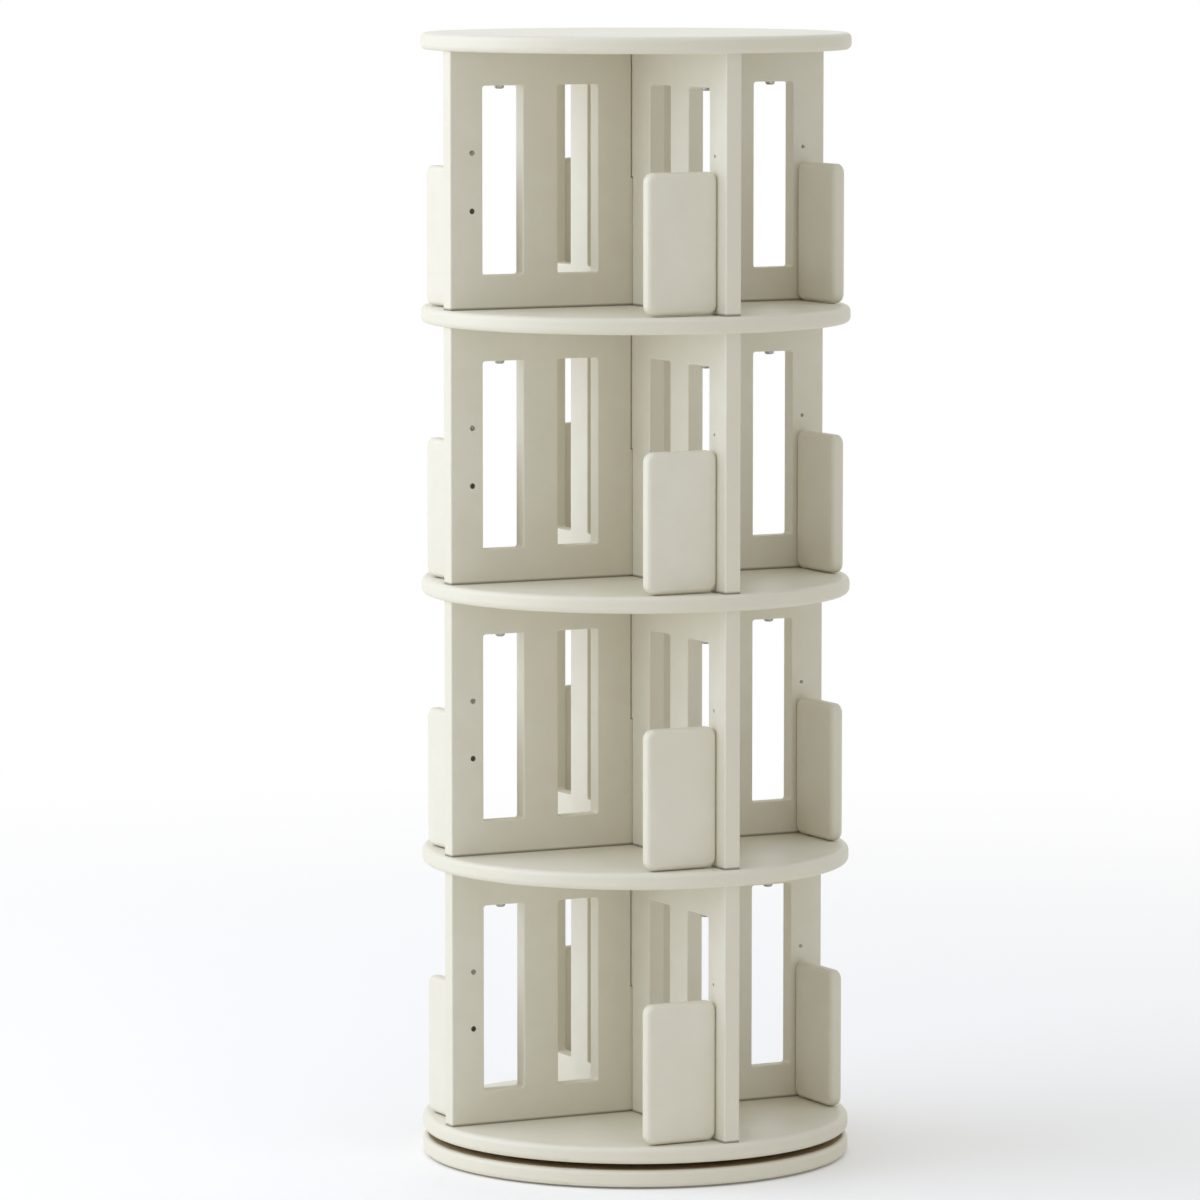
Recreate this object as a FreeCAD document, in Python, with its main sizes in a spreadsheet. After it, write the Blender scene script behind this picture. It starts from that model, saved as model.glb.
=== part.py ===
import FreeCAD, Part
import math
import os
import Sketcher

# Revolving tower: four tiers of crossed boards between round boards, on a ball turntable.
# Origin at the floor under the turning axis, +Z up, millimetres.
# Each cross lies along X and Y. Every piece of a wing is drawn on the +X wing and turned into place.

driving_sizes = {
    # Round boards of the turning tower
    "disc_diameter": 460,
    "disc_thickness": 18,
    "disc_round": 6,
    "tier_count": 4,
    # Crossed panels of a tier
    "panel_height": 273,
    "panel_thickness": 18,
    "panel_inset": 6,
    "panel_round": 1.5,
    "halving_gap": 0.9,
    "top_rail": 36.5,
    "bottom_rail": 36.5,
    "outer_stile": 38,
    "middle_stile": 41,
    "inner_stile": 50,
    "window_corner": 3,
    # Book stops
    "stop_width": 82,
    "stop_height": 149,
    "stop_lift": 1,
    "stop_thickness": 15,
    "stop_setback": 18,
    "stop_corner": 10.5,
    "stop_round": 5,
    "stop_screw_rise": 104.5,
    "spare_hole_rise": 166,
    "stop_dowel_rise": 36,
    # Screws and dowels of the stops
    "screw_diameter": 4,
    "screw_head_diameter": 6,
    "screw_head_height": 3.5,
    "screw_sink": 1.5,
    "screw_length": 40,
    "screw_socket": 2.5,
    "screw_socket_depth": 1.6,
    "dowel_diameter": 6,
    "dowel_length": 24,
    "dowel_in_panel": 9,
    # Bolts that tie the tiers together, and their threaded inserts
    "bolt_diameter": 6,
    "bolt_head_diameter": 10.5,
    "bolt_head_height": 3.6,
    "bolt_head_round": 2.6,
    "bolt_sunk_diameter": 12,
    "bolt_socket": 4,
    "bolt_socket_depth": 2,
    "bolt_bite": 12,
    "bolt_gap": 0.4,
    "insert_diameter": 9,
    "insert_length": 14,
    "fit_gap": 0.1,
    # Ball turntable between the base and the lowest round board
    "turntable_height": 6.5,
    "race_diameter": 250,
    "ring_width": 23.5,
    "ball_diameter": 4,
    "ball_count": 36,
    "ball_gap": 0.15,
    "ring_gap": 2.2,
    "ring_lift": 0.8,
    "cage_thickness": 1.2,
    "cage_gap": 0.4,
    "ring_screw_diameter": 4,
    "ring_screw_head": 8,
    "ring_screw_length": 18,
    "ring_screw_count": 6,
    "driver_hole": 14,
    # Base board and its pads
    "base_diameter": 460,
    "base_thickness": 18,
    "base_round": 5,
    "pad_diameter": 30,
    "pad_height": 2,
    "pad_bevel": 0.6,
    "pad_inset": 35,
    "pad_count": 6,
}

doc = FreeCAD.newDocument("revolving_tower")
sheet = doc.addObject("Spreadsheet::Sheet", "Sizes")
for row, (alias, value) in enumerate(driving_sizes.items(), 1):
    sheet.set(f"A{row}", alias)
    sheet.set(f"B{row}", str(value))
    sheet.setAlias(f"B{row}", alias)
doc.recompute()

# Places that several pieces share, as expressions of the driving sizes
wing_count = "4"
reach = "(Sizes.disc_diameter / 2 - Sizes.panel_inset)"
half_panel = "(Sizes.panel_thickness / 2)"
window_head = "(Sizes.panel_height - Sizes.top_rail)"
window_height = f"({window_head} - Sizes.bottom_rail)"
window_width = f"(({reach} - Sizes.outer_stile - Sizes.middle_stile - Sizes.inner_stile) / 2)"
inner_window = "Sizes.inner_stile"
outer_window = f"({inner_window} + {window_width} + Sizes.middle_stile)"
bolt_place = f"({outer_window} + {window_width} / 2)"
stop_face = f"({reach} - Sizes.stop_setback - Sizes.stop_thickness)"
stop_middle = f"({stop_face} + Sizes.stop_thickness / 2)"
base_top = "(Sizes.pad_height + Sizes.base_thickness)"
ball_level = f"({base_top} + Sizes.turntable_height / 2)"
bottom_face = f"({base_top} + Sizes.turntable_height)"
tier_pitch = "(Sizes.panel_height + Sizes.disc_thickness)"
outer_wall = "((Sizes.race_diameter + Sizes.ring_gap) / 2)"
inner_wall = "((Sizes.race_diameter - Sizes.ring_gap) / 2)"
outer_screws = f"({outer_wall} + Sizes.ring_width / 2)"
inner_screws = f"({inner_wall} - Sizes.ring_width / 2)"


def tier_floor(tier):
    return f"({bottom_face} + Sizes.disc_thickness + {tier - 1} * {tier_pitch})"


def number(expression):
    return float(sheet.evalExpression(expression))


tier_total = int(number("Sizes.tier_count"))
flat = 0.01  # slack of the tests that pick edges, in mm
least_cut = 0.01  # least volume that a cut has to take away, in cubic mm
parts = []

# Document helpers


def new_body(label, height="0", turn=0):
    body = doc.addObject("PartDesign::Body", label)
    body.Label = label
    body.AllowCompound = True
    body.Placement = FreeCAD.Placement(
        FreeCAD.Vector(0, 0, number(height)),
        FreeCAD.Rotation(FreeCAD.Vector(0, 0, 1), turn),
    )
    body.setExpression("Placement.Base.z", height)
    parts.append(body)
    return body


def origin(body, role):
    return next(item for item in body.Origin.OriginFeatures if item.Role == role)


def new_sketch(body, name, plane, lift="0"):
    sketch = body.newObject("Sketcher::SketchObject", name)
    sketch.AttachmentSupport = [(origin(body, plane), "")]
    sketch.MapMode = "FlatFace"
    sketch.setExpression("AttachmentOffset.Base.z", lift)
    return sketch


def dimension(sketch, kind, places, expression):
    index = sketch.addConstraint(Sketcher.Constraint(kind, *places, number(expression)))
    sketch.setExpression(f"Constraints[{index}]", expression)


def pin(sketch, line, end, x, y):
    dimension(sketch, "DistanceX", (-1, 1, line, end), x)
    dimension(sketch, "DistanceY", (-1, 1, line, end), y)


def polygon(sketch, corners):
    points = [FreeCAD.Vector(number(x), number(y), 0) for x, y in corners]
    first = sketch.GeometryCount
    for start, end in zip(points, points[1:] + points[:1]):
        sketch.addGeometry(Part.LineSegment(start, end), False)
    for index, (x, y) in enumerate(corners):
        before = first + (index - 1) % len(corners)
        sketch.addConstraint(Sketcher.Constraint("Coincident", before, 2, first + index, 1))
        pin(sketch, first + index, 1, x, y)


def circle(sketch, x, y, radius):
    centre = FreeCAD.Vector(number(x), number(y), 0)
    index = sketch.addGeometry(Part.Circle(centre, FreeCAD.Vector(0, 0, 1), number(radius)), False)
    pin(sketch, index, 3, x, y)
    dimension(sketch, "Radius", (index,), radius)


def rectangle(sketch, left, bottom, width, height):
    right = f"{left} + {width}"
    top = f"{bottom} + {height}"
    polygon(sketch, [(left, bottom), (right, bottom), (right, top), (left, top)])


def rounded_rectangle(sketch, left, bottom, width, height, corner):
    radius = number(corner)
    low = FreeCAD.Vector(number(left) + radius, number(bottom) + radius, 0)
    high = low + FreeCAD.Vector(number(width) - 2 * radius, number(height) - 2 * radius, 0)
    centres = [
        FreeCAD.Vector(high.x, low.y, 0),
        high,
        FreeCAD.Vector(low.x, high.y, 0),
        low,
    ]
    first = sketch.GeometryCount
    arcs = []
    for quarter, centre in enumerate(centres):
        turn = FreeCAD.Rotation(FreeCAD.Vector(0, 0, 1), 90 * quarter)
        outward = turn.multVec(FreeCAD.Vector(0, -radius, 0))
        sketch.addGeometry(Part.LineSegment(centres[quarter - 1] + outward, centre + outward), False)
        full = Part.Circle(centre, FreeCAD.Vector(0, 0, 1), radius)
        start = full.parameter(centre + outward)
        arcs.append(sketch.addGeometry(Part.ArcOfCircle(full, start, start + math.pi / 2), False))
    for quarter, arc in enumerate(arcs):
        level = "Horizontal" if quarter % 2 == 0 else "Vertical"
        following = first + (arc + 1 - first) % (2 * len(arcs))
        sketch.addConstraint(Sketcher.Constraint("Tangent", arc - 1, 2, arc, 1))
        sketch.addConstraint(Sketcher.Constraint("Tangent", arc, 2, following, 1))
        sketch.addConstraint(Sketcher.Constraint(level, arc - 1))
        if quarter:
            sketch.addConstraint(Sketcher.Constraint("Equal", arcs[0], arc))
    lower, right, upper, left_side = [arc - 1 for arc in arcs]
    dimension(sketch, "Radius", (arcs[0],), corner)
    dimension(sketch, "DistanceX", (-1, 1, left_side, 1), left)
    dimension(sketch, "DistanceY", (-1, 1, lower, 1), bottom)
    dimension(sketch, "DistanceX", (left_side, 1, right, 1), width)
    dimension(sketch, "DistanceY", (lower, 1, upper, 1), height)


def pad(body, name, sketch, length, side="One side"):
    feature = body.newObject("PartDesign::Pad", name)
    feature.Profile = sketch
    feature.SideType = side
    feature.setExpression("Length", length)
    return feature


def pocket(body, name, sketch, length=None, side="One side", reverse=False):
    feature = body.newObject("PartDesign::Pocket", name)
    feature.Profile = sketch
    feature.SideType = side
    feature.Reversed = reverse
    if length is None:
        feature.Type = "ThroughAll"
    else:
        feature.setExpression("Length", length)
    return feature


def turned(body, kind, name, profile, axis="0", plane="XZ_Plane", lift="0"):
    # Revolves a closed (radius, level) outline about a line beside the sketch's upright axis.
    sketch = new_sketch(body, f"{name}_profile", plane, lift)
    polygon(sketch, [(f"{axis} + {radius}", level) for radius, level in profile])
    start = FreeCAD.Vector(number(axis), 0, 0)
    spindle = sketch.addGeometry(Part.LineSegment(start, start + FreeCAD.Vector(0, 1, 0)), True)
    sketch.addConstraint(Sketcher.Constraint("Vertical", spindle))
    pin(sketch, spindle, 1, axis, "0")
    feature = body.newObject(f"PartDesign::{kind}", name)
    feature.Profile = sketch
    feature.ReferenceAxis = (sketch, ["Axis0"])
    feature.Angle = 360
    return feature


def around(body, name, count, cuts=None):
    # Repeats the given cuts about the turning axis, or the whole body where none are given.
    doc.recompute()
    pattern = body.newObject("PartDesign::PolarPattern", name)
    if cuts:
        pattern.Originals = cuts
    else:
        pattern.TransformMode = "Whole shape"
    pattern.Axis = (origin(body, "Z_Axis"), [""])
    pattern.Angle = 360
    pattern.setExpression("Occurrences", count)
    body.Tip = pattern


def repeat_up(body, name, count):
    doc.recompute()
    pattern = body.newObject("PartDesign::LinearPattern", name)
    pattern.TransformMode = "Whole shape"
    pattern.Direction = (origin(body, "Z_Axis"), [""])
    pattern.Mode = "Spacing"
    pattern.setExpression("Offset", tier_pitch)
    pattern.setExpression("Occurrences", count)
    body.Tip = pattern


def fillet(body, name, feature, radius, wanted):
    # The edges are told apart by the boxes that they fill, so their order in the shape doesn't matter.
    doc.recompute()
    edges = [f"Edge{index}" for index, edge in enumerate(feature.Shape.Edges, 1) if wanted(edge)]
    rounding = body.newObject("PartDesign::Fillet", name)
    rounding.Base = (feature, edges)
    rounding.setExpression("Radius", radius)
    return rounding


def hex_socket(body, name, across, depth, plane, lift, x, y):
    half_flat = f"{across} / 2"
    point = f"{across} / sqrt(3)"
    corners = [
        (f"{x} + {point}", y),
        (f"{x} + {point} / 2", f"{y} + {half_flat}"),
        (f"{x} - {point} / 2", f"{y} + {half_flat}"),
        (f"{x} - {point}", y),
        (f"{x} - {point} / 2", f"{y} - {half_flat}"),
        (f"{x} + {point} / 2", f"{y} - {half_flat}"),
    ]
    sketch = new_sketch(body, f"{name}_outline", plane, lift)
    polygon(sketch, corners)
    return pocket(body, name, sketch, depth, reverse=True)


# Turned outlines of the fasteners, which also cut their holes when they are grown by a gap


def cylinder(radius, low, high):
    return [("0", low), (radius, low), (radius, high), ("0", high)]


def sunk_head(head, shank, face, point, growth, way):
    # Countersunk fastener from its head's face to its point. The way is +1 with the head below, -1 above.
    slope = f"({head} - {shank}) / 2"
    return [
        ("0", face),
        (f"{head} / 2 + {growth}", face),
        (f"{shank} / 2 + {growth}", f"{face} + {way} * {slope}"),
        (f"{shank} / 2 + {growth}", f"{point} - {way} * {shank} / 2"),
        ("0", f"{point} + {way} * {growth}"),
    ]


def ring_screw_outline(face, way, growth="0"):
    point = f"{face} + {way} * Sizes.ring_screw_length"
    return sunk_head("Sizes.ring_screw_head", "Sizes.ring_screw_diameter", face, point, growth, way)


def foot_bolt_outline(face, growth="0"):
    point = f"{face} + Sizes.disc_thickness + Sizes.bolt_bite"
    return sunk_head("Sizes.bolt_sunk_diameter", "Sizes.bolt_diameter", face, point, growth, 1)


def button_bolt_outline(seat, length):
    return [
        ("0", f"{seat} - Sizes.bolt_head_height"),
        ("Sizes.bolt_head_diameter / 2", f"{seat} - Sizes.bolt_head_height"),
        ("Sizes.bolt_head_diameter / 2", seat),
        ("Sizes.bolt_diameter / 2", seat),
        ("Sizes.bolt_diameter / 2", f"{seat} + {length}"),
        ("0", f"{seat} + {length}"),
    ]


screw_top = f"({half_panel} - Sizes.screw_sink)"
screw_seat = f"({screw_top} - Sizes.screw_head_height)"
screw_point = f"({screw_seat} - Sizes.screw_length)"
dowel_start = f"(Sizes.dowel_in_panel - {half_panel})"
dowel_end = f"({dowel_start} - Sizes.dowel_length)"
shank_bore = "(Sizes.screw_diameter / 2 + Sizes.fit_gap)"
head_bore = "(Sizes.screw_head_diameter / 2 + Sizes.fit_gap)"
dowel_bore = "(Sizes.dowel_diameter / 2 + Sizes.fit_gap)"
bolt_bore = "(Sizes.bolt_diameter / 2 + Sizes.bolt_gap)"
insert_bore = "(Sizes.insert_diameter / 2 + Sizes.fit_gap)"

# Round boards


def round_board(label, height, diameter, thickness, rounding):
    body = new_body(label, height)
    outline = new_sketch(body, "outline", "XY_Plane")
    circle(outline, "0", "0", f"{diameter} / 2")
    blank = pad(body, "blank", outline, thickness)
    fillet(body, "rim", blank, rounding, lambda edge: edge.BoundBox.ZLength < flat)
    return body


def tower_board(label, height):
    return round_board(label, height, "Sizes.disc_diameter", "Sizes.disc_thickness", "Sizes.disc_round")


def make_base_disc():
    body = round_board(
        "base_disc", "Sizes.pad_height", "Sizes.base_diameter", "Sizes.base_thickness", "Sizes.base_round"
    )
    face = "(Sizes.base_thickness + Sizes.turntable_height - Sizes.ring_lift)"
    outline = ring_screw_outline(face, -1, "Sizes.fit_gap")
    hole = turned(body, "Groove", "pilot", outline, outer_screws)
    around(body, "pilots", "Sizes.ring_screw_count", [hole])
    access = new_sketch(body, "access", "XY_Plane")
    circle(access, inner_screws, "0", "Sizes.driver_hole / 2")
    pocket(body, "driver_hole", access, reverse=True)


def make_bottom_shelf():
    body = tower_board("bottom_shelf", bottom_face)
    face = "(Sizes.ring_lift - Sizes.turntable_height)"
    outline = ring_screw_outline(face, 1, "Sizes.fit_gap")
    pilot = turned(body, "Groove", "pilot", outline, inner_screws)
    around(body, "pilots", "Sizes.ring_screw_count", [pilot])
    hole = turned(body, "Groove", "foot_hole", foot_bolt_outline("0", "Sizes.bolt_gap"), bolt_place)
    around(body, "foot_holes", wing_count, [hole])


def make_shelf(tier):
    body = tower_board(f"shelf_{tier}", f"{tier_floor(tier)} - Sizes.disc_thickness")
    hole = turned(body, "Groove", "bolt_hole", cylinder(bolt_bore, "0", "Sizes.disc_thickness"), bolt_place)
    around(body, "bolt_holes", wing_count, [hole])


def make_top_board():
    body = tower_board("top_board", f"{tier_floor(tier_total + 1)} - Sizes.disc_thickness")
    depth = "Sizes.insert_length + Sizes.fit_gap"
    hole = turned(body, "Groove", "insert_hole", cylinder(insert_bore, "0", depth), bolt_place)
    around(body, "insert_holes", wing_count, [hole])


# Crossed panels, drawn along X with the stop of the +X wing on its -Y face


def make_panel(label, tier, turn, notch_above):
    body = new_body(label, tier_floor(tier), turn)
    outline = new_sketch(body, "outline", "XZ_Plane")
    rectangle(outline, f"-{reach}", "0", f"2 * {reach}", "Sizes.panel_height")
    blank = pad(body, "blank", outline, "Sizes.panel_thickness", "Symmetric")
    fillet(
        body,
        "end_round",
        blank,
        "Sizes.panel_round",
        lambda edge: edge.BoundBox.XLength < flat and edge.BoundBox.YLength < flat,
    )

    windows = new_sketch(body, "windows", "XZ_Plane")
    for left in (outer_window, inner_window):
        rounded_rectangle(
            windows, left, "Sizes.bottom_rail", window_width, window_height, "Sizes.window_corner"
        )
    openings = pocket(body, "window_pair", windows, side="Symmetric")
    around(body, "window_pairs", "2", [openings])

    notch = new_sketch(body, "notch", "XZ_Plane")
    notch_width = "(Sizes.panel_thickness + 2 * Sizes.halving_gap)"
    notch_start = "Sizes.panel_height / 2" if notch_above else "0"
    notch_height = "Sizes.panel_height / 2" if notch_above else "Sizes.panel_height / 2 + Sizes.halving_gap"
    rectangle(notch, f"-{notch_width} / 2", notch_start, notch_width, notch_height)
    halving = pocket(body, "halving", notch, side="Symmetric")

    # Eased edges on both faces: all round the windows and up the sides of the halving
    window_end = number(f"{outer_window} + {window_width}") + flat
    window_floor = number("Sizes.bottom_rail") - flat
    window_top = number(window_head) + flat
    notch_side = number(f"{notch_width} / 2") + flat

    def eased(edge):
        box = edge.BoundBox
        if box.YLength > flat:
            return False
        if abs(box.Center.x) < notch_side:
            return box.XLength < flat
        in_height = box.ZMin > window_floor and box.ZMax < window_top
        return in_height and max(-box.XMin, box.XMax) < window_end

    fillet(body, "edge_round", halving, "Sizes.panel_round", eased)

    half_window = f"({window_head} - {window_height} / 2)"
    insert_depth = "Sizes.insert_length + Sizes.fit_gap"
    head_hole = cylinder(bolt_bore, half_window, "Sizes.panel_height")
    seat = [
        ("0", half_panel),
        (head_bore, half_panel),
        (head_bore, screw_seat),
        (shank_bore, screw_seat),
        (shank_bore, f"-{half_panel}"),
        ("0", f"-{half_panel}"),
    ]
    dowel_hole = cylinder(dowel_bore, f"-{half_panel}", f"{dowel_start} + Sizes.fit_gap")
    holes = [
        turned(body, "Groove", "head_hole", head_hole, bolt_place),
        turned(body, "Groove", "insert_hole", cylinder(insert_bore, "0", insert_depth), bolt_place),
        turned(body, "Groove", "screw_hole", seat, stop_middle, "XY_Plane", "Sizes.stop_screw_rise"),
        turned(body, "Groove", "spare_hole", seat, stop_middle, "XY_Plane", "Sizes.spare_hole_rise"),
        turned(body, "Groove", "dowel_hole", dowel_hole, stop_middle, "XY_Plane", "Sizes.stop_dowel_rise"),
    ]
    around(body, "wing_holes", "2", holes)


# Book stops, drawn on the -Y side of the +X wing


def make_stop(label, tier, turn):
    body = new_body(label, tier_floor(tier), turn)
    outline = new_sketch(body, "outline", "YZ_Plane", stop_face)
    left = f"-({half_panel} + Sizes.stop_width)"
    rounded_rectangle(
        outline, left, "Sizes.stop_lift", "Sizes.stop_width", "Sizes.stop_height", "Sizes.stop_corner"
    )
    blank = pad(body, "blank", outline, "Sizes.stop_thickness")
    fillet(body, "edge_round", blank, "Sizes.stop_round", lambda edge: edge.BoundBox.XLength < flat)
    screw_end = f"{screw_point} - Sizes.fit_gap"
    dowel_stop = f"{dowel_end} - Sizes.fit_gap"
    screw_hole = cylinder(shank_bore, screw_end, f"-{half_panel}")
    dowel_hole = cylinder(dowel_bore, dowel_stop, f"-{half_panel}")
    turned(body, "Groove", "screw_hole", screw_hole, stop_middle, "XY_Plane", "Sizes.stop_screw_rise")
    turned(body, "Groove", "dowel_hole", dowel_hole, stop_middle, "XY_Plane", "Sizes.stop_dowel_rise")


# Fasteners of the tower, each node a set of equal solids


def make_stop_screws():
    body = new_body("stop_screws", tier_floor(1))
    outline = [
        ("0", screw_top),
        ("Sizes.screw_head_diameter / 2", screw_top),
        ("Sizes.screw_head_diameter / 2", screw_seat),
        ("Sizes.screw_diameter / 2", screw_seat),
        ("Sizes.screw_diameter / 2", f"{screw_point} + Sizes.screw_diameter / 2"),
        ("0", screw_point),
    ]
    turned(body, "Revolution", "screw", outline, stop_middle, "XY_Plane", "Sizes.stop_screw_rise")
    hex_socket(
        body,
        "socket",
        "Sizes.screw_socket",
        "Sizes.screw_socket_depth",
        "XZ_Plane",
        f"-{screw_top}",
        stop_middle,
        "Sizes.stop_screw_rise",
    )
    around(body, "wings", wing_count)
    repeat_up(body, "tiers", "Sizes.tier_count")


def make_stop_dowels():
    body = new_body("stop_dowels", tier_floor(1))
    outline = cylinder("Sizes.dowel_diameter / 2", dowel_end, dowel_start)
    turned(body, "Revolution", "dowel", outline, stop_middle, "XY_Plane", "Sizes.stop_dowel_rise")
    around(body, "wings", wing_count)
    repeat_up(body, "tiers", "Sizes.tier_count")


def button_bolts(label, tier, length):
    body = new_body(label, tier_floor(tier))
    blank = turned(body, "Revolution", "bolt", button_bolt_outline(window_head, length), bolt_place)
    face = f"{window_head} - Sizes.bolt_head_height"
    face_level = number(face)
    fillet(
        body,
        "head_round",
        blank,
        "Sizes.bolt_head_round",
        lambda edge: len(edge.Vertexes) == 1 and edge.BoundBox.ZMax < face_level + flat,
    )
    hex_socket(
        body, "socket", "Sizes.bolt_socket", "Sizes.bolt_socket_depth", "XY_Plane", face, bolt_place, "0"
    )
    around(body, "wings", wing_count)
    return body


def make_tie_bolts():
    rail = f"(Sizes.panel_height - {window_head})"
    body = button_bolts("tie_bolts", 1, f"{rail} + Sizes.disc_thickness + Sizes.bolt_bite")
    repeat_up(body, "tiers", "Sizes.tier_count - 1")
    button_bolts("top_bolts", tier_total, f"{rail} + Sizes.bolt_bite")


def make_foot_bolts():
    body = new_body("foot_bolts", bottom_face)
    turned(body, "Revolution", "bolt", foot_bolt_outline("0"), bolt_place)
    hex_socket(
        body, "socket", "Sizes.bolt_socket", "Sizes.bolt_socket_depth", "XY_Plane", "0", bolt_place, "0"
    )
    around(body, "wings", wing_count)


def inserts(label, height):
    body = new_body(label, height)
    bore = "Sizes.bolt_diameter / 2 + Sizes.fit_gap"
    outline = [
        (bore, "0"),
        ("Sizes.insert_diameter / 2", "0"),
        ("Sizes.insert_diameter / 2", "Sizes.insert_length"),
        (bore, "Sizes.insert_length"),
    ]
    turned(body, "Revolution", "insert", outline, bolt_place)
    around(body, "wings", wing_count)
    return body


def make_inserts():
    repeat_up(inserts("panel_inserts", tier_floor(1)), "tiers", "Sizes.tier_count")
    inserts("top_inserts", f"{tier_floor(tier_total + 1)} - Sizes.disc_thickness")


# Ball turntable: outer ring on the base, inner ring under the tower, balls in a cage between them


def turntable_ring(label, height, inner, screws, screw_face, way):
    body = new_body(label, height)
    ring_height = "Sizes.turntable_height - Sizes.ring_lift"
    outer = f"{inner} + Sizes.ring_width"
    section = [(inner, "0"), (outer, "0"), (outer, ring_height), (inner, ring_height)]
    turned(body, "Revolution", "ring", section)
    race = new_sketch(body, "race", "XZ_Plane")
    groove_radius = "Sizes.ball_diameter / 2 + Sizes.ball_gap"
    circle(race, "Sizes.race_diameter / 2", f"{ball_level} - {height}", groove_radius)
    groove = body.newObject("PartDesign::Groove", "race_groove")
    groove.Profile = race
    groove.ReferenceAxis = (race, ["V_Axis"])
    groove.Angle = 360
    outline = ring_screw_outline(screw_face, way, "Sizes.fit_gap")
    hole = turned(body, "Groove", "screw_hole", outline, screws)
    around(body, "screw_holes", "Sizes.ring_screw_count", [hole])


def make_turntable_rings():
    outer_face = "(Sizes.turntable_height - Sizes.ring_lift)"
    inner_base = f"({base_top} + Sizes.ring_lift)"
    inner_bore = f"({inner_wall} - Sizes.ring_width)"
    turntable_ring("turntable_outer_ring", base_top, outer_wall, outer_screws, outer_face, -1)
    turntable_ring("turntable_inner_ring", inner_base, inner_bore, inner_screws, "0", 1)


def ring_screws(label, height, place, way):
    body = new_body(label, height)
    turned(body, "Revolution", "screw", ring_screw_outline("0", way), place)
    socket = hex_socket(
        body, "socket", "Sizes.screw_socket", "Sizes.screw_socket_depth", "XY_Plane", "0", place, "0"
    )
    socket.Reversed = way > 0
    around(body, "circle", "Sizes.ring_screw_count")


def make_ring_screws():
    outer_face = f"{bottom_face} - Sizes.ring_lift"
    ring_screws("outer_ring_screws", outer_face, outer_screws, -1)
    ring_screws("inner_ring_screws", f"{base_top} + Sizes.ring_lift", inner_screws, 1)


def make_cage():
    body = new_body("turntable_cage", ball_level)
    inner = "(Sizes.race_diameter - Sizes.cage_thickness) / 2"
    outer = "(Sizes.race_diameter + Sizes.cage_thickness) / 2"
    half = "(Sizes.turntable_height / 2 - Sizes.cage_gap)"
    section = [(inner, f"-{half}"), (outer, f"-{half}"), (outer, half), (inner, half)]
    turned(body, "Revolution", "band", section)
    sketch = new_sketch(body, "ball_pocket_outline", "YZ_Plane")
    circle(sketch, "0", "0", "Sizes.ball_diameter / 2 + Sizes.ball_gap")
    hole = pocket(body, "ball_pocket", sketch, reverse=True)
    around(body, "ball_pockets", "Sizes.ball_count", [hole])


def make_balls():
    body = new_body("turntable_balls", ball_level)
    sketch = new_sketch(body, "ball_outline", "XZ_Plane")
    radius = number("Sizes.ball_diameter / 2")
    centre = FreeCAD.Vector(number("Sizes.race_diameter / 2"), 0, 0)
    up = FreeCAD.Vector(0, radius, 0)
    half_circle = Part.Arc(centre - up, centre + FreeCAD.Vector(radius, 0, 0), centre + up)
    arc = sketch.addGeometry(half_circle, False)
    chord = sketch.addGeometry(Part.LineSegment(centre + up, centre - up), False)
    sketch.addConstraint(Sketcher.Constraint("Coincident", arc, 2, chord, 1))
    sketch.addConstraint(Sketcher.Constraint("Coincident", chord, 2, arc, 1))
    sketch.addConstraint(Sketcher.Constraint("Vertical", chord))
    sketch.addConstraint(Sketcher.Constraint("PointOnObject", arc, 3, chord))
    dimension(sketch, "Radius", (arc,), "Sizes.ball_diameter / 2")
    pin(sketch, arc, 3, "Sizes.race_diameter / 2", "0")
    ball = body.newObject("PartDesign::Revolution", "ball")
    ball.Profile = sketch
    ball.ReferenceAxis = (sketch, ["Edge2"])
    ball.Angle = 360
    around(body, "race", "Sizes.ball_count")


def make_pads():
    body = new_body("base_pads")
    radius = "Sizes.pad_diameter / 2"
    outline = [
        ("0", "0"),
        (f"{radius} - Sizes.pad_bevel", "0"),
        (radius, "Sizes.pad_bevel"),
        (radius, "Sizes.pad_height"),
        ("0", "Sizes.pad_height"),
    ]
    turned(body, "Revolution", "pad", outline, "Sizes.base_diameter / 2 - Sizes.pad_inset")
    around(body, "circle", "Sizes.pad_count")


# Assembly, from the floor up

make_pads()
make_base_disc()
make_turntable_rings()
make_ring_screws()
make_cage()
make_balls()
make_bottom_shelf()
make_foot_bolts()
for tier in range(1, tier_total + 1):
    if tier > 1:
        make_shelf(tier)
    make_panel(f"panel_{tier}_across", tier, 0, True)
    make_panel(f"panel_{tier}_along", tier, 90, False)
    for quarter, side in enumerate(("right", "back", "left", "front")):
        make_stop(f"stop_{tier}_{side}", tier, 90 * quarter)
make_top_board()
make_tie_bolts()
make_inserts()
make_stop_screws()
make_stop_dowels()
doc.recompute()

# Every feature has to be sound, and every cut has to take material away, before anything is written

for item in doc.Objects:
    if "Invalid" in item.State or "Error" in item.State:
        raise RuntimeError(f"{item.Name} failed: {item.State}")
    if item.TypeId in ("PartDesign::Pocket", "PartDesign::Groove"):
        if item.Shape.Volume >= item.BaseFeature.Shape.Volume - least_cut:
            raise RuntimeError(f"{item.Name} of {item.getParentGeoFeatureGroup().Label} cuts nothing")

os.makedirs("parts", exist_ok=True)
for body in parts:
    if body.Shape.isNull() or not body.Shape.isValid():
        raise RuntimeError(f"{body.Label} has no sound shape")
for body in parts:
    body.Shape.exportStep(f"parts/{body.Label}.step")
    print(body.Label, len(body.Shape.Solids), "solids", round(body.Shape.Volume / 1000, 2), "cm3")
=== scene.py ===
import math

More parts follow.
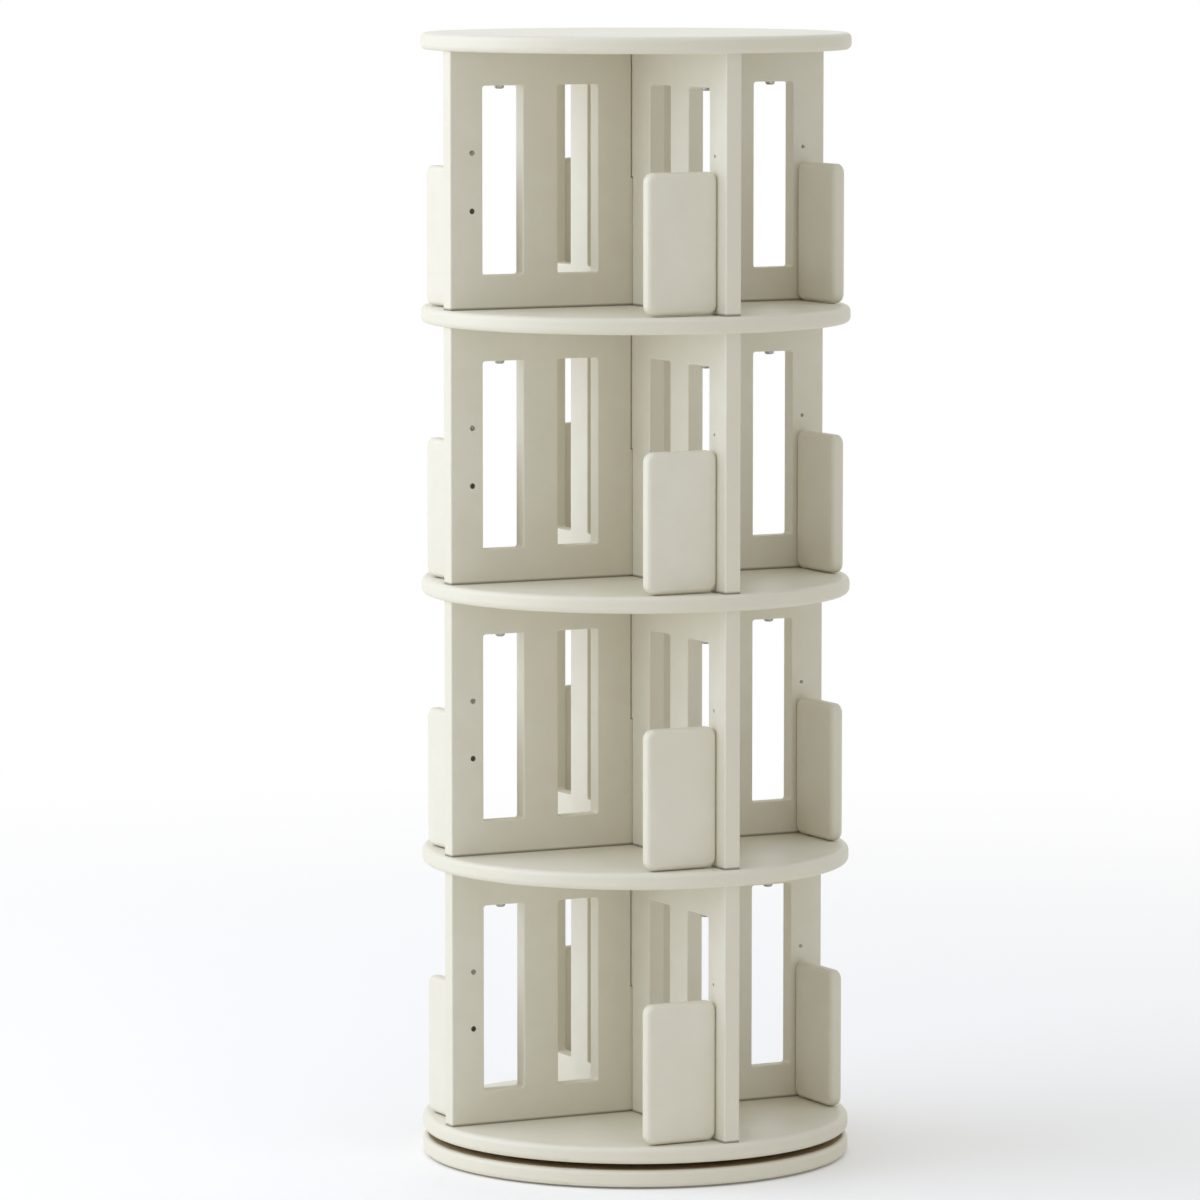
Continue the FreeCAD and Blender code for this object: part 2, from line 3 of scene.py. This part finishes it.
import bmesh
import bpy
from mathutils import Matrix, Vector


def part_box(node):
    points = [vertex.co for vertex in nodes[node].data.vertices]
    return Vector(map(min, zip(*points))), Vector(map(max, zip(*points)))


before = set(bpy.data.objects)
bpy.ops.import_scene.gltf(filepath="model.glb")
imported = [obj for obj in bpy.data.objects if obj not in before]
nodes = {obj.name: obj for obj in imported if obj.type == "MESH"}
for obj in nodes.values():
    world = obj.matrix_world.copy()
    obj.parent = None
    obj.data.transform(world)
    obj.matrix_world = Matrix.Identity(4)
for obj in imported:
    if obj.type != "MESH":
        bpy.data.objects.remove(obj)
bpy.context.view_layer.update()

# revolving tower in cream lacquer, metres, +Z up, turning axis on Z
scene = bpy.context.scene
scene.view_settings.view_transform = "Standard"
print("frame loaded:", len(nodes), "nodes")


# shader maths: a socket that takes part in plain expressions
class Wire:
    def __init__(self, tree, socket):
        self.tree = tree
        self.socket = socket

    def maths(self, operation, *values):
        node = self.tree.nodes.new("ShaderNodeMath")
        node.operation = operation
        for place, value in zip(node.inputs, values):
            if isinstance(value, Wire):
                self.tree.links.new(value.socket, place)
            else:
                place.default_value = value
        return Wire(self.tree, node.outputs[0])

    def __add__(self, other):
        return self.maths("ADD", self, other)

    def __radd__(self, other):
        return self.maths("ADD", other, self)

    def __sub__(self, other):
        return self.maths("SUBTRACT", self, other)

    def __rsub__(self, other):
        return self.maths("SUBTRACT", other, self)

    def __mul__(self, other):
        return self.maths("MULTIPLY", self, other)

    def __rmul__(self, other):
        return self.maths("MULTIPLY", other, self)

    def __pow__(self, other):
        return self.maths("POWER", self, other)

    def __mod__(self, other):
        return self.maths("FLOORED_MODULO", self, other)

    def __abs__(self):
        return self.maths("ABSOLUTE", self)

    def sine(self):
        return self.maths("SINE", self)

    def top(self, other):
        return self.maths("MAXIMUM", self, other)

    def low(self, other):
        return self.maths("MINIMUM", self, other)

    def angle(self, other):
        return self.maths("ARCTAN2", self, other)


# one finish: a Principled shader and the nodes that feed it
class Finish:
    def __init__(self, name, tree=None):
        if tree is None:
            self.material = bpy.data.materials.new(name)
            self.material.use_nodes = True
            tree = self.material.node_tree
        self.tree = tree
        self.shader = tree.nodes.get("Principled BSDF")

    # any node: its settings are set first, then its sockets, and a list of outputs gives a list of wires
    def node(self, kind, settings=None, sockets=None, out=0):
        made = self.tree.nodes.new(kind)
        for key, value in (settings or {}).items():
            setattr(made, key, value)
        for key, value in (sockets or {}).items():
            self.feed(made.inputs[key], value)
        if isinstance(out, list):
            return [Wire(self.tree, made.outputs[each]) for each in out]
        return Wire(self.tree, made.outputs[out])

    def feed(self, socket, value):
        if isinstance(value, Wire):
            self.tree.links.new(value.socket, socket)
        else:
            socket.default_value = value

    def surface(self, **values):
        for key, value in values.items():
            self.feed(self.shader.inputs[key.replace("_", " ")], value)

    def place(self, shift=(0, 0, 0), scale=(1, 1, 1)):
        spot = self.node("ShaderNodeTexCoord", out="Object")
        return self.node("ShaderNodeMapping", sockets={"Vector": spot, "Location": shift, "Scale": scale})

    def axes(self):
        spot = self.node("ShaderNodeTexCoord", out="Object")
        return self.node("ShaderNodeSeparateXYZ", sockets={0: spot}, out=[0, 1, 2])

    def noise(self, spot, scale, detail=2.0, rough=0.5):
        sockets = {"Vector": spot, "Scale": scale, "Detail": detail, "Roughness": rough}
        return self.node("ShaderNodeTexNoise", sockets=sockets)

    def cells(self, spot, scale, feature="F1"):
        return self.node("ShaderNodeTexVoronoi", {"feature": feature}, {"Vector": spot, "Scale": scale})

    # 0 up to start, 1 from end on
    def step(self, value, start, end):
        return self.node(
            "ShaderNodeMapRange",
            {"interpolation_type": "SMOOTHSTEP"},
            {"Value": value, "From Min": start, "From Max": end},
        )

    # 1 up to reach, 0 past a soft margin
    def within(self, value, reach, soft):
        return 1 - self.step(value, reach, reach + soft)

    def blend(self, mask, first, second):
        return self.node("ShaderNodeMix", {"data_type": "RGBA"}, {0: mask, 6: first, 7: second}, 2)

    def relief(self, height, depth):
        return self.node("ShaderNodeBump", sockets={"Height": height, "Distance": depth})


# distance from an axis, by the two coordinates across it
def spread(first, second):
    return (first * first + second * second) ** 0.5


# how far out along its wing of the cross a point lies, how far beside the wing's middle, and its height
def onWing(finish):
    x, y, z = finish.axes()
    return abs(x).top(abs(y)), abs(x).low(abs(y)), z


# cream lacquer sprayed on board: orange peel on the faces, raised fibre on the cut edges
# noises are written as scale, detail and roughness
boardLook = {
    "pale": (0.772, 0.740, 0.613, 1),
    "deep": (0.740, 0.703, 0.568, 1),
    "edge": (0.730, 0.691, 0.549, 1),
    # painted shade at a panel's foot, darkening the groove where it meets its shelf, with dirt in the
    # joint
    "joint": (0.240, 0.215, 0.155, 1),
    # near-white painted light on the spare-hole walls, lifting the shade inside the holes
    "paintedHoleLight": (0.960, 0.955, 0.935, 1),
    "bare": (0.420, 0.310, 0.160, 1),
    "bareFibre": (0.560, 0.440, 0.250, 1),
    "edgeTint": 0.55,
    "drift": (6.0, 4.0, 0.55),  # slow change between spray passes
    "cloud": (38.0, 3.0),
    "driftShare": 0.7,
    "toneSpan": (0.36, 0.64),
    "peel": (330.0, 2.0, 0.4),
    "peelDepth": 0.00012,
    "fibre": (1400.0, 2.0, 0.7),
    "fibreSpan": (0.40, 0.66),
    "faceFibre": 0.08,
    "edgeFibre": 0.35,
    "nibScale": 55.0,  # sparse dust nibs
    "nibReach": 0.02,
    "nibSoft": 0.035,
    "nibHeight": 0.5,
    "roughness": 0.40,
    "driftDull": 0.10,
    "peelDull": 0.08,
    "edgeDull": 0.10,
    "bareRoughness": 0.88,
}
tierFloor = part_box("bottom_shelf")[1][2]
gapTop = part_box("bottom_shelf")[0][2]
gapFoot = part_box("base_disc")[1][2]
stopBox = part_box("stop_1_right")
boardPlan = {
    "tierPitch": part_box("shelf_2")[1][2] - tierFloor,
    "gapMiddle": (gapTop + gapFoot) / 2,
    "gapHalf": (gapTop - gapFoot) / 2,
    "underside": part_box("base_disc")[0][2],
    "rim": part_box("top_board")[1][0],
    "rimRound": 0.0055,
    "rimFull": 0.0015,
    "sprayReach": 0.0065,  # how far in from the rim the spray gets
    "spraySoft": 0.0015,
    "sprayWander": 0.004,
    "sprayEdge": (45.0, 3.0),
    "panelHalf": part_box("panel_1_across")[1][1],
    "stopOut": (stopBox[0][0] + stopBox[1][0]) / 2,
    "stopHalf": (stopBox[1][0] - stopBox[0][0]) / 2,
    "stopLift": stopBox[0][2] - tierFloor,
    "cutInset": 0.0002,
    "cutSoft": 0.0012,
    "touch": 0.0001,  # slack with which a face or a hole is picked out
    "fade": 0.0003,
    "jointHeight": 0.0006,
    "jointSoft": 0.0030,
    "screwRise": 0.1045,
    "screwRadius": 0.0031,
    "spareRise": 0.166,
    "spareRadius": 0.0021,
}


# coats lists further masks, each with the colour that it gets
def boardLacquer(name, shift, edgeOf, bareOf, coats=()):
    look = boardLook
    finish = Finish(name)
    spot = finish.place(shift)
    edge = edgeOf(finish)
    bare = bareOf(finish)
    drift = finish.noise(spot, *look["drift"])
    cloud = finish.noise(spot, *look["cloud"])
    peel = finish.noise(spot, *look["peel"])
    fibre = finish.noise(spot, *look["fibre"])
    nibs = finish.within(finish.cells(spot, look["nibScale"]), look["nibReach"], look["nibSoft"])
    mottle = look["driftShare"] * drift + (1 - look["driftShare"]) * cloud
    colour = finish.blend(finish.step(mottle, *look["toneSpan"]), look["deep"], look["pale"])
    colour = finish.blend(edge * look["edgeTint"], colour, look["edge"])
    for maskOf, tint in coats:
        colour = finish.blend(maskOf(finish), colour, look[tint])
    brown = finish.blend(finish.step(fibre, *look["fibreSpan"]), look["bare"], look["bareFibre"])
    height = peel + look["nibHeight"] * nibs + look["faceFibre"] * fibre
    height = height + look["edgeFibre"] * edge * fibre + bare * fibre
    satin = look["roughness"] + look["driftDull"] * (drift - 0.5) + look["peelDull"] * (peel - 0.5)
    satin = satin + look["edgeDull"] * edge
    finish.surface(
        Base_Color=finish.blend(bare, colour, brown),
        Roughness=satin + bare * (look["bareRoughness"] - satin),
        Normal=finish.relief(height, look["peelDepth"]),
    )
    return finish.material


def riseInTier(z):
    return (z - tierFloor) % boardPlan["tierPitch"]


# cut edges: the rims of the round boards, and whatever lies between the faces of a panel or stop
def roundRim(finish):
    x, y, z = finish.axes()
    rim = boardPlan["rim"]
    return finish.step(spread(x, y), rim - boardPlan["rimRound"], rim - boardPlan["rimFull"])


def betweenFaces(finish, across, half):
    sure = half - boardPlan["cutInset"] - boardPlan["cutSoft"]
    return finish.within(abs(across), sure, boardPlan["cutSoft"])


def panelCut(through):
    def edgeOf(finish):
        return betweenFaces(finish, finish.axes()[through], boardPlan["panelHalf"])
    return edgeOf


def stopCut(finish):
    out, beside, z = onWing(finish)
    return betweenFaces(finish, out - boardPlan["stopOut"], boardPlan["stopHalf"])


# bare board where no spray gets: both faces of the turning gap and the underside of the base
def gapFaces(finish):
    x, y, z = finish.axes()
    wander = finish.noise(finish.place(), *boardPlan["sprayEdge"]) - 0.5
    out = spread(x, y) + boardPlan["sprayWander"] * wander
    inner = finish.within(out, boardPlan["rim"] - boardPlan["sprayReach"], boardPlan["spraySoft"])
    rise = abs(z - boardPlan["gapMiddle"])
    inGap = finish.within(rise, boardPlan["gapHalf"] + boardPlan["touch"], boardPlan["fade"])
    under = finish.within(z, boardPlan["underside"] + boardPlan["touch"], boardPlan["fade"])
    return inner * inGap.top(under)


# walls of one kind of hole through a panel: bare in the screw holes; in the spare holes above, near-white
# painted light that brightens their shaded walls
def panelHole(kind, along, through):
    def wallOf(finish):
        axes = finish.axes()
        rise = riseInTier(axes[2]) - boardPlan[kind + "Rise"]
        away = spread(abs(axes[along]) - boardPlan["stopOut"], rise)
        hole = finish.within(away, boardPlan[kind + "Radius"] + boardPlan["touch"], boardPlan["fade"])
        return hole * betweenFaces(finish, axes[through], boardPlan["panelHalf"])
    return wallOf


# bare lower ends of the stops
def stopFoot(finish):
    rise = riseInTier(finish.axes()[2])
    return finish.within(rise, boardPlan["stopLift"] + boardPlan["touch"], boardPlan["fade"])


# dark line where a panel stands on its shelf: painted shade of the groove between the eased edges, with
# dirt in the joint
def footDirtAndShade(finish):
    rise = riseInTier(finish.axes()[2])
    return finish.within(rise, boardPlan["jointHeight"], boardPlan["jointSoft"])


# each kind of board starts at its own place in the noises
roundBoard = boardLacquer("lacquered_round_boards", (0.3, 0.1, 0.7), roundRim, gapFaces)
# and paint light on the walls of their spare holes
# the panels' coats paint shade along their feet, with dirt in the joint
acrossBoard = boardLacquer(
    "lacquered_across_panels",
    (1.7, 0.4, 0.2),
    panelCut(1),
    panelHole("screw", 0, 1),
    [(footDirtAndShade, "joint"), (panelHole("spare", 0, 1), "paintedHoleLight")],
)
alongBoard = boardLacquer(
    "lacquered_along_panels",
    (0.9, 2.3, 1.1),
    panelCut(0),
    panelHole("screw", 1, 0),
    [(footDirtAndShade, "joint"), (panelHole("spare", 1, 0), "paintedHoleLight")],
)
stopBoard = boardLacquer("lacquered_stops", (2.6, 1.2, 0.5), stopCut, stopFoot)
print("board finishes made")


# threads stand out as rings on the shanks, at each fixing's own pitch
# shank start and end are shares of the shank's radius between which the rings fade in and out
fixings = {
    "boltHead": 0.00525,
    "boltShank": 0.003,
    "boltPitch": 0.001,
    "insertShank": 0.0045,
    "insertPitch": 0.0025,
    "screwShank": 0.002,
    "screwPitch": 0.0018,
    "shankStart": (0.86, 0.90),
    "shankEnd": (1.03, 1.08),
    "ringClear": 0.0005,
    "threadDepth": 0.00018,
}
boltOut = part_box("tie_bolts")[1][0] - fixings["boltHead"]


def turns(along, pitch):
    return (along * (2 * math.pi / pitch)).sine()


def rings(finish, radius, along, shank, pitch):
    start = [share * shank for share in fixings["shankStart"]]
    end = [share * shank for share in fixings["shankEnd"]]
    onShank = finish.step(radius, *start) - finish.step(radius, *end)
    return onShank * turns(along, pitch)


def uprightThread(finish, shank, pitch):
    out, beside, z = onWing(finish)
    return rings(finish, spread(out - boltOut, beside), z, shank, pitch)


def boltThread(finish):
    return uprightThread(finish, fixings["boltShank"], fixings["boltPitch"])


def insertThread(finish):
    return uprightThread(finish, fixings["insertShank"], fixings["insertPitch"])


def stopScrewThread(finish):
    out, beside, z = onWing(finish)
    up = riseInTier(z) - boardPlan["screwRise"]
    radius = spread(out - boardPlan["stopOut"], up)
    return rings(finish, radius, beside, fixings["screwShank"], fixings["screwPitch"])


# the heads lie flush in their ring, so only what stands clear of the rings is threaded
def ringScrewThread(finish):
    z = finish.axes()[2]
    half = boardPlan["gapHalf"]
    clear = finish.step(abs(z - boardPlan["gapMiddle"]), half, half + fixings["ringClear"])
    return clear * turns(z, fixings["screwPitch"])


# browned steel on the stop screws and nickel on the bolts, both rubbed brighter here and there
brownedLook = {
    "dull": (0.120, 0.095, 0.065, 1),
    "bright": (0.220, 0.190, 0.145, 1),
    "patch": (260.0, 3.0),
    "grain": (2600.0, 2.0),
    "rubSpan": (0.56, 0.72),
    "metallic": 0.70,
    "rubMetallic": 0.2,
    "roughness": 0.48,
    "rubGloss": 0.14,
    "grainDull": 0.10,
    "grainHeight": 0.1,
}
nickelLook = {
    "dull": (0.460, 0.445, 0.410, 1),
    "bright": (0.600, 0.585, 0.550, 1),
    "patch": (220.0, 3.0),
    "grain": (2400.0, 2.0),
    "rubSpan": (0.50, 0.70),
    "metallic": 1.0,
    "roughness": 0.38,
    "rubGloss": 0.12,
    "grainDull": 0.08,
    "grainHeight": 0.08,
}


def rubbedMetal(name, look, threadOf):
    finish = Finish(name)
    spot = finish.place()
    patch = finish.noise(spot, *look["patch"])
    grain = finish.noise(spot, *look["grain"])
    rub = finish.step(patch, *look["rubSpan"])
    metallic = look["metallic"]
    if "rubMetallic" in look:
        metallic = metallic + look["rubMetallic"] * rub
    finish.surface(
        Base_Color=finish.blend(rub, look["dull"], look["bright"]),
        Metallic=metallic,
        Roughness=look["roughness"] - look["rubGloss"] * rub + look["grainDull"] * (grain - 0.5),
        Normal=finish.relief(threadOf(finish) + look["grainHeight"] * grain, fixings["threadDepth"]),
    )
    return finish.material


# zinc plate on the inserts and ring screws: faint spangle, yellowish in places
zincLook = {
    "yellowish": (0.60, 0.585, 0.54, 1),
    "bright": (0.70, 0.70, 0.69, 1),
    "stain": (120.0, 3.0),
    "spangleScale": 700.0,
    "spangleHeight": 0.06,
    "roughness": 0.26,
    "spangleDull": 0.18,
    "stainDull": 0.06,
}


def zincPlate(name, threadOf):
    look = zincLook
    finish = Finish(name)
    spot = finish.place()
    spangle = finish.cells(spot, look["spangleScale"], "SMOOTH_F1")
    stain = finish.noise(spot, *look["stain"])
    finish.surface(
        Base_Color=finish.blend(stain, look["yellowish"], look["bright"]),
        Metallic=1.0,
        Roughness=look["roughness"] + look["spangleDull"] * spangle + look["stainDull"] * (stain - 0.5),
        Normal=finish.relief(threadOf(finish) + look["spangleHeight"] * spangle, fixings["threadDepth"]),
    )
    return finish.material


# turned aluminium rings with fine tool marks round the axis
aluminiumLook = {
    "dull": (0.54, 0.54, 0.535, 1),
    "bright": (0.68, 0.68, 0.675, 1),
    "streak": (90.0, 4.0, 0.6),
    "streakScale": (1, 1, 8),
    "toolMarks": 5200.0,  # radians for each metre of radius
    "markDepth": 0.000006,
    "roughness": 0.34,
    "markDull": 0.05,
    "streakDull": 0.12,
}


def turnedAluminium():
    look = aluminiumLook
    finish = Finish("turned_aluminium")
    x, y, z = finish.axes()
    marks = (spread(x, y) * look["toolMarks"]).sine()
    streak = finish.noise(finish.place(scale=look["streakScale"]), *look["streak"])
    finish.surface(
        Base_Color=finish.blend(streak, look["dull"], look["bright"]),
        Metallic=1.0,
        Roughness=look["roughness"] + look["markDull"] * marks + look["streakDull"] * (streak - 0.5),
        Normal=finish.relief(marks, look["markDepth"]),
    )
    return finish.material


# hard bright balls with a film of grease
ballLook = {
    "greased": (0.60, 0.59, 0.56, 1),
    "bright": (0.72, 0.72, 0.72, 1),
    "film": (320.0, 3.0),
    "filmDepth": 0.000004,
    "roughness": 0.09,
    "filmDull": 0.10,
}


def bearingSteel():
    look = ballLook
    finish = Finish("bearing_steel")
    film = finish.noise(finish.place(), *look["film"])
    finish.surface(
        Base_Color=finish.blend(film, look["greased"], look["bright"]),
        Metallic=1.0,
        Roughness=look["roughness"] + look["filmDull"] * film,
        Normal=finish.relief(film, look["filmDepth"]),
    )
    return finish.material


# nylon ball cage: cloudy flow marks and a sparked mould skin
nylonLook = {
    "deep": (0.62, 0.60, 0.53, 1),
    "pale": (0.72, 0.70, 0.63, 1),
    "flow": (60.0, 3.0),
    "spark": (1800.0, 2.0),
    "sparkDepth": 0.00002,
    "roughness": 0.44,
    "sparkDull": 0.12,
}


def mouldedNylon():
    look = nylonLook
    finish = Finish("moulded_nylon")
    spot = finish.place()
    flow = finish.noise(spot, *look["flow"])
    spark = finish.noise(spot, *look["spark"])
    finish.surface(
        Base_Color=finish.blend(flow, look["deep"], look["pale"]),
        Roughness=look["roughness"] + look["sparkDull"] * (spark - 0.5),
        Normal=finish.relief(spark, look["sparkDepth"]),
    )
    return finish.material


# grey rubber pads with a stippled skin and floor dust
rubberLook = {
    "clean": (0.055, 0.052, 0.048, 1),
    "dusty": (0.120, 0.112, 0.100, 1),
    "dust": (80.0, 4.0, 0.65),
    "dustSpan": (0.45, 0.72),
    "stippleScale": 900.0,
    "stippleDepth": 0.00012,
    "roughness": 0.78,
    "dustDull": 0.12,
}


def stippledRubber():
    look = rubberLook
    finish = Finish("stippled_rubber")
    spot = finish.place()
    stipple = finish.cells(spot, look["stippleScale"])
    dust = finish.step(finish.noise(spot, *look["dust"]), *look["dustSpan"])
    finish.surface(
        Base_Color=finish.blend(dust, look["clean"], look["dusty"]),
        Roughness=look["roughness"] + look["dustDull"] * dust,
        Normal=finish.relief(stipple, look["stippleDepth"]),
    )
    return finish.material


# fluted beech dowels: grain along the dowel and fine pores
beechLook = {
    "deep": (0.56, 0.40, 0.25, 1),
    "pale": (0.70, 0.54, 0.37, 1),
    "porous": (0.36, 0.23, 0.13, 1),
    "dowelRise": 0.036,
    "grainStretch": 0.12,
    "grain": (900.0, 4.0, 0.6),
    "pore": (2600.0, 2.0),
    "poreSpan": (0.58, 0.70),
    "poreTint": 0.6,
    "flutes": 14.0,
    "fluteDepth": 0.00025,
    "grainHeight": 0.3,
    "poreHeight": 0.12,
    "roughness": 0.62,
    "grainDull": 0.12,
}


def flutedBeech():
    look = beechLook
    finish = Finish("beech_dowels")
    wingOut, beside, z = onWing(finish)
    out = wingOut - boardPlan["stopOut"]
    up = riseInTier(z) - look["dowelRise"]
    spot = finish.node("ShaderNodeCombineXYZ", sockets={0: out, 1: up, 2: look["grainStretch"] * beside})
    grain = finish.noise(spot, *look["grain"])
    pore = finish.step(finish.noise(spot, *look["pore"]), *look["poreSpan"])
    flute = (up.angle(out) * look["flutes"]).sine()
    wood = finish.blend(grain, look["deep"], look["pale"])
    height = flute + look["grainHeight"] * grain - look["poreHeight"] * pore
    finish.surface(
        Base_Color=finish.blend(pore * look["poreTint"], wood, look["porous"]),
        Roughness=look["roughness"] + look["grainDull"] * (grain - 0.5),
        Normal=finish.relief(height, look["fluteDepth"]),
    )
    return finish.material


nickel = rubbedMetal("nickel_plated_bolts", nickelLook, boltThread)
zincInsert = zincPlate("zinc_plated_inserts", insertThread)
zincScrew = zincPlate("zinc_plated_ring_screws", ringScrewThread)
aluminium = turnedAluminium()
finishOf = {
    "base_disc": roundBoard,
    "bottom_shelf": roundBoard,
    "top_board": roundBoard,
    "foot_bolts": nickel,
    "tie_bolts": nickel,
    "top_bolts": nickel,
    "stop_screws": rubbedMetal("browned_steel_screws", brownedLook, stopScrewThread),
    "panel_inserts": zincInsert,
    "top_inserts": zincInsert,
    "outer_ring_screws": zincScrew,
    "inner_ring_screws": zincScrew,
    "turntable_outer_ring": aluminium,
    "turntable_inner_ring": aluminium,
    "turntable_balls": bearingSteel(),
    "turntable_cage": mouldedNylon(),
    "base_pads": stippledRubber(),
    "stop_dowels": flutedBeech(),
}
for name, piece in nodes.items():
    if name.startswith("shelf_"):
        finishOf[name] = roundBoard
    elif name.startswith("stop_") and name not in finishOf:
        finishOf[name] = stopBoard
    elif name.endswith("_across"):
        finishOf[name] = acrossBoard
    elif name.endswith("_along"):
        finishOf[name] = alongBoard
    for place in piece.material_slots:
        place.material = finishOf[name]
print("finishes:", len(set(finishOf.values())), "on", len(finishOf), "nodes")


# studio: pale floor that runs out to white, broad light from the left, soft light from above
studio = {
    "floorHalf": 14.0,
    "floorTone": (0.985, 0.972, 0.918, 1),
    "floorCloud": (0.990, 0.977, 0.923, 1),
    "cloud": (3.0, 2.0),
    "floorRoughness": 0.6,
    "cloudDull": 0.1,
    "floorGloss": 0.2,
    "white": (1, 1, 1, 1),
    "nearWhite": 0.12,  # share of plain white beside the tower, all white past the fade
    "fadeStart": 0.6,
    "fadeEnd": 3.3,
    "worldLevel": 0.543,
    "worldTint": (1.005, 1.0, 1.02, 1),
    "lampTint": (0.92, 1.0, 1.22),
    "keyPower": 83.0,
    "keySize": (4.4, 4.0),
    "keyPlace": (-3.0, 1.0, 2.2),
    "topPower": 0.63,
    "topSpread": 80.0,  # degrees
    "topPlace": (-0.3, -0.4, 4.0),
    "aim": (0.0, 0.0, 0.75),
}


def seenDirectly(finish):
    rays = ["Is Camera Ray", "Is Glossy Ray", "Is Transmission Ray"]
    camera, glossy, through = finish.node("ShaderNodeLightPath", out=rays)
    return (camera + glossy + through).low(1.0)


def makeFloor():
    mesh = bpy.data.meshes.new("studio_floor")
    shape = bmesh.new()
    bmesh.ops.create_grid(shape, x_segments=2, y_segments=2, size=studio["floorHalf"])
    shape.to_mesh(mesh)
    shape.free()
    floor = bpy.data.objects.new("studio_floor", mesh)
    scene.collection.objects.link(floor)
    finish = Finish("pale_floor")
    x, y, z = finish.axes()
    far = finish.step(spread(x, y), studio["fadeStart"], studio["fadeEnd"])
    cloud = finish.noise(finish.place(), *studio["cloud"])
    finish.surface(
        Base_Color=finish.blend(cloud, studio["floorTone"], studio["floorCloud"]),
        Roughness=studio["floorRoughness"] + studio["cloudDull"] * (cloud - 0.5),
        Specular_IOR_Level=studio["floorGloss"],
    )
    white = finish.node("ShaderNodeEmission", sockets={"Color": studio["white"], "Strength": 1.0})
    body = Wire(finish.tree, finish.shader.outputs[0])
    whiteShare = (studio["nearWhite"] + (1 - studio["nearWhite"]) * far) * seenDirectly(finish)
    mixed = finish.node("ShaderNodeMixShader", sockets={0: whiteShare, 1: body, 2: white})
    finish.feed(finish.tree.nodes["Material Output"].inputs["Surface"], mixed)
    mesh.materials.append(finish.material)


def makeWorld():
    world = bpy.data.worlds.new("studio_world")
    world.use_nodes = True
    scene.world = world
    air = Finish("studio_world", world.node_tree)
    lit = {"Color": studio["worldTint"], "Strength": studio["worldLevel"]}
    light = air.node("ShaderNodeBackground", sockets=lit)
    shown = air.node("ShaderNodeBackground", sockets={"Color": studio["white"], "Strength": 1.0})
    mixed = air.node("ShaderNodeMixShader", sockets={0: seenDirectly(air), 1: light, 2: shown})
    air.feed(world.node_tree.nodes["World Output"].inputs["Surface"], mixed)


def addLamp(name, kind, place, settings):
    lamp = bpy.data.lights.new(name, kind)
    lamp.color = studio["lampTint"]
    for key, value in settings.items():
        setattr(lamp, key, value)
    holder = bpy.data.objects.new(name, lamp)
    holder.location = place
    holder.visible_camera = False
    holder.rotation_euler = (Vector(studio["aim"]) - Vector(place)).to_track_quat("-Z", "Y").to_euler()
    scene.collection.objects.link(holder)


makeFloor()
makeWorld()
addLamp("key_softbox", "AREA", studio["keyPlace"], {
    "energy": studio["keyPower"],
    "shape": "RECTANGLE",
    "size": studio["keySize"][0],
    "size_y": studio["keySize"][1],
})
addLamp("top_light", "SUN", studio["topPlace"], {
    "energy": studio["topPower"],
    "angle": math.radians(studio["topSpread"]),
})
print("studio set")


# camera at the photograph's angle: turn and rise in degrees, lens and sensor in millimetres
view = {
    "distance": 7.34,
    "turn": -26.81,
    "rise": 6.0,
    "level": 0.5995,
    "aside": 0.03824,
    "lens": 204.7,
    "sensor": 36.0,
    "clipEnd": 200.0,
}


def makeCamera():
    turn = math.radians(view["turn"])
    rise = math.radians(view["rise"])
    back = Vector((math.sin(turn) * math.cos(rise), -math.cos(turn) * math.cos(rise), math.sin(rise)))
    right = Vector((math.cos(turn), math.sin(turn), 0))
    target = Vector((0, 0, view["level"])) - view["aside"] * right
    camera = bpy.data.cameras.new("photo_camera")
    camera.lens = view["lens"]
    camera.sensor_width = view["sensor"]
    camera.clip_end = view["clipEnd"]
    holder = bpy.data.objects.new("photo_camera", camera)
    holder.location = target + view["distance"] * back
    holder.rotation_euler = (-back).to_track_quat("-Z", "Y").to_euler()
    scene.collection.objects.link(holder)
    scene.camera = holder


makeCamera()
print("camera set")
